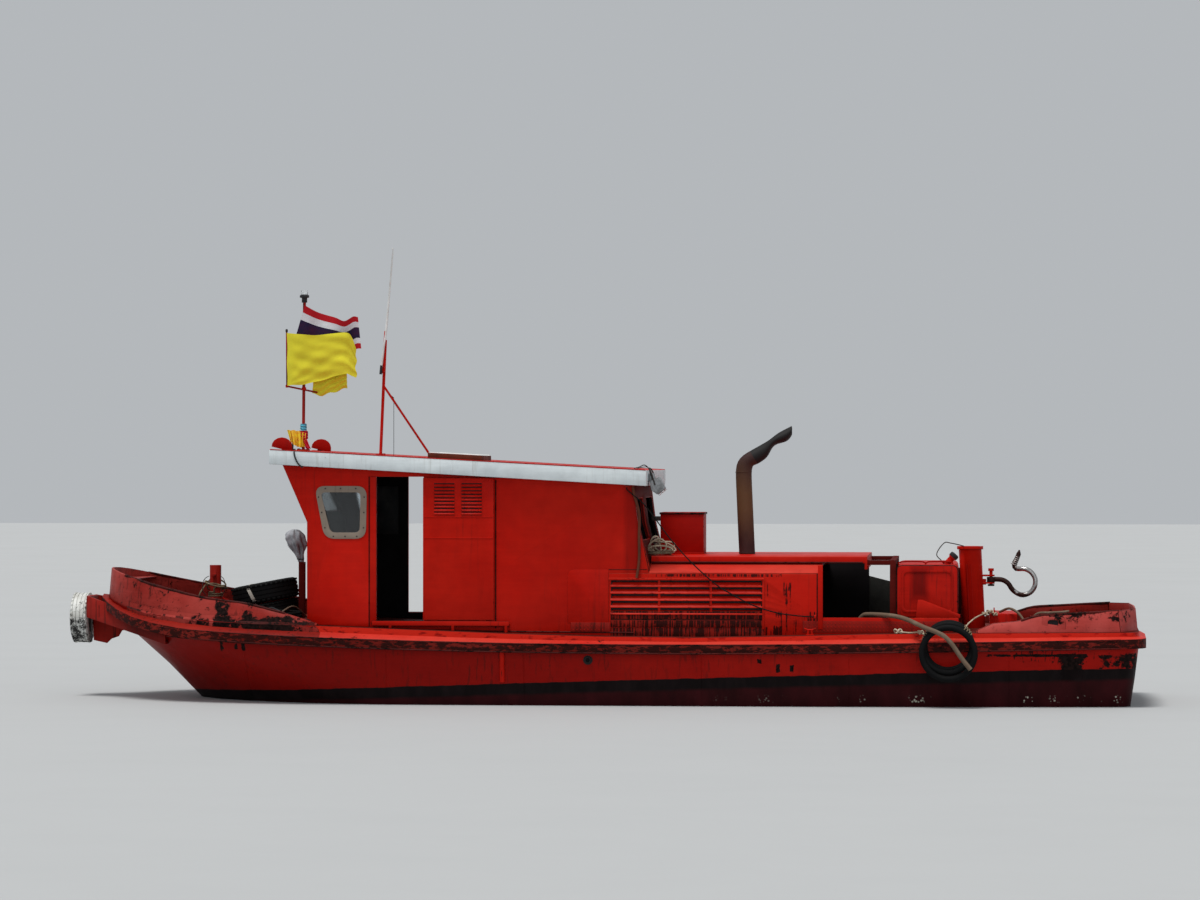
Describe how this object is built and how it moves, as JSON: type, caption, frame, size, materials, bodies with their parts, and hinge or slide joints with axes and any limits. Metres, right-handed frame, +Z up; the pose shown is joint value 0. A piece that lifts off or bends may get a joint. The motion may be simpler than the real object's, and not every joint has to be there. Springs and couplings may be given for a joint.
{
  "type": "small harbour tug boat",
  "caption": "Small steel harbour tug with a forward wheelhouse, engine casing, tow post with a pigtail hook, fender belt and bow tyre.",
  "frame": {"origin": "centreline at the waterline, midway between the ends of the fender belt", "axes": "+X aft, +Y to starboard, +Z up"},
  "size_m": [13.1063, 3.8797, 6.65],
  "materials": {
    "hull_paint": "weathered semi-gloss red enamel with rust and scuffs, black and maroon below",
    "red_paint": "weathered semi-gloss red enamel",
    "deck_paint": "worn dark red deck paint",
    "white_paint": "weathered white enamel",
    "dark_steel": "dark worn steel",
    "hook_steel": "steel, bright where the rope wears it",
    "rusty_steel": "heat-browned rusty steel",
    "grey_metal": "dull grey aluminium",
    "glass": "clear, slightly dusty",
    "wood": "varnished hardwood",
    "tyre_rubber": "worn black rubber",
    "painted_tyre": "rubber with scuffed white paint",
    "bronze": "cast bronze",
    "flag_cloth": "striped woven polyester",
    "yellow_cloth": "plain woven polyester",
    "wrap_plastic": "weathered plastic sheet",
    "black_rope": "tarred black line",
    "pale_rope": "laid synthetic rope, dirty beige",
    "hose_rubber": "brown rubber hose",
    "solar_glass": "dark panel in a pale frame"
  },
  "bodies": {
    "hull_body": {"hull": "hull_paint", "fender_belt": "hull_paint", "bow_bulwark": "red_paint", "stern_bulwark": "red_paint", "bow_knee": "red_paint", "bow_fender_tyre": "painted_tyre", "bow_bitt": "red_paint", "deck_tyres": "tyre_rubber", "bow_stand": "deck_paint", "stand_cover": "wrap_plastic", "wheelhouse_roof": "white_paint", "wheelhouse_port_side": "red_paint", "wheelhouse_starboard_side": "red_paint", "port_side_glass": "glass", "starboard_side_glass": "glass", "wheelhouse_front": "red_paint", "front_port_glass": "glass", "front_starboard_glass": "glass", "wheelhouse_aft": "red_paint", "port_door_rail": "red_paint", "starboard_door_rail": "red_paint", "helm_console": "wood", "casing_port_side": "red_paint", "casing_starboard_side": "red_paint", "casing_top": "red_paint", "casing_hatch": "red_paint", "casing_aft_frame": "deck_paint", "engine_block": "dark_steel", "exhaust_stack": "rusty_steel", "vent_box": "red_paint", "fuel_tank": "red_paint", "filler_neck": "dark_steel", "tow_post": "red_paint", "aft_deck_box": "red_paint", "quarter_fender": "tyre_rubber", "flag_mast": "dark_steel", "national_flag": "flag_cloth", "upper_yellow_flag": "yellow_cloth", "lower_yellow_flag": "yellow_cloth", "mast_cloth": "yellow_cloth", "radio_mast": "red_paint", "port_light_screen": "red_paint", "starboard_light_screen": "red_paint", "solar_panel": "solar_glass", "floodlight": "grey_metal", "slack_line": "black_rope", "rope_coil": "pale_rope", "discharge_hose": "hose_rubber"},
    "port_door_body": {"port_door": "red_paint"},
    "starboard_door_body": {"starboard_door": "red_paint"},
    "rudder_body": {"rudder": "rusty_steel"},
    "helm_wheel_body": {"helm_wheel": "wood"},
    "propeller_body": {"propeller": "bronze"},
    "tow_hook_body": {"tow_hook": "hook_steel"}
  },
  "joints": [
    {"name": "port_door_slide", "type": "slide", "parent": "hull_body", "child": "port_door_body", "axis": [-1, 0, 0], "range_m": [0, 0.56]},
    {"name": "starboard_door_slide", "type": "slide", "parent": "hull_body", "child": "starboard_door_body", "axis": [-1, 0, 0], "range_m": [0, 0.56]},
    {"name": "rudder_turn", "type": "hinge", "parent": "hull_body", "child": "rudder_body", "pos_m": [5.64, 0, -0.6], "axis": [0, 0, 1], "range_deg": [-35, 35]},
    {"name": "helm_turn", "type": "hinge", "parent": "hull_body", "child": "helm_wheel_body", "pos_m": [-3.13, 0, 1.62], "axis": [1, 0, 0], "range_deg": [-350, 350]},
    {"name": "propeller_turn", "type": "hinge", "parent": "hull_body", "child": "propeller_body", "pos_m": [4.76, 0, -0.62], "axis": [1, 0, 0], "continuous": true},
    {"name": "tow_hook_swing", "type": "hinge", "parent": "hull_body", "child": "tow_hook_body", "pos_m": [4.52, 0, 1.459], "axis": [0, 0, 1], "range_deg": [-75, 75]}
  ],
  "couplings": [
    {"joint": "helm_turn", "follows": "rudder_turn", "ratio": 10}
  ]
}
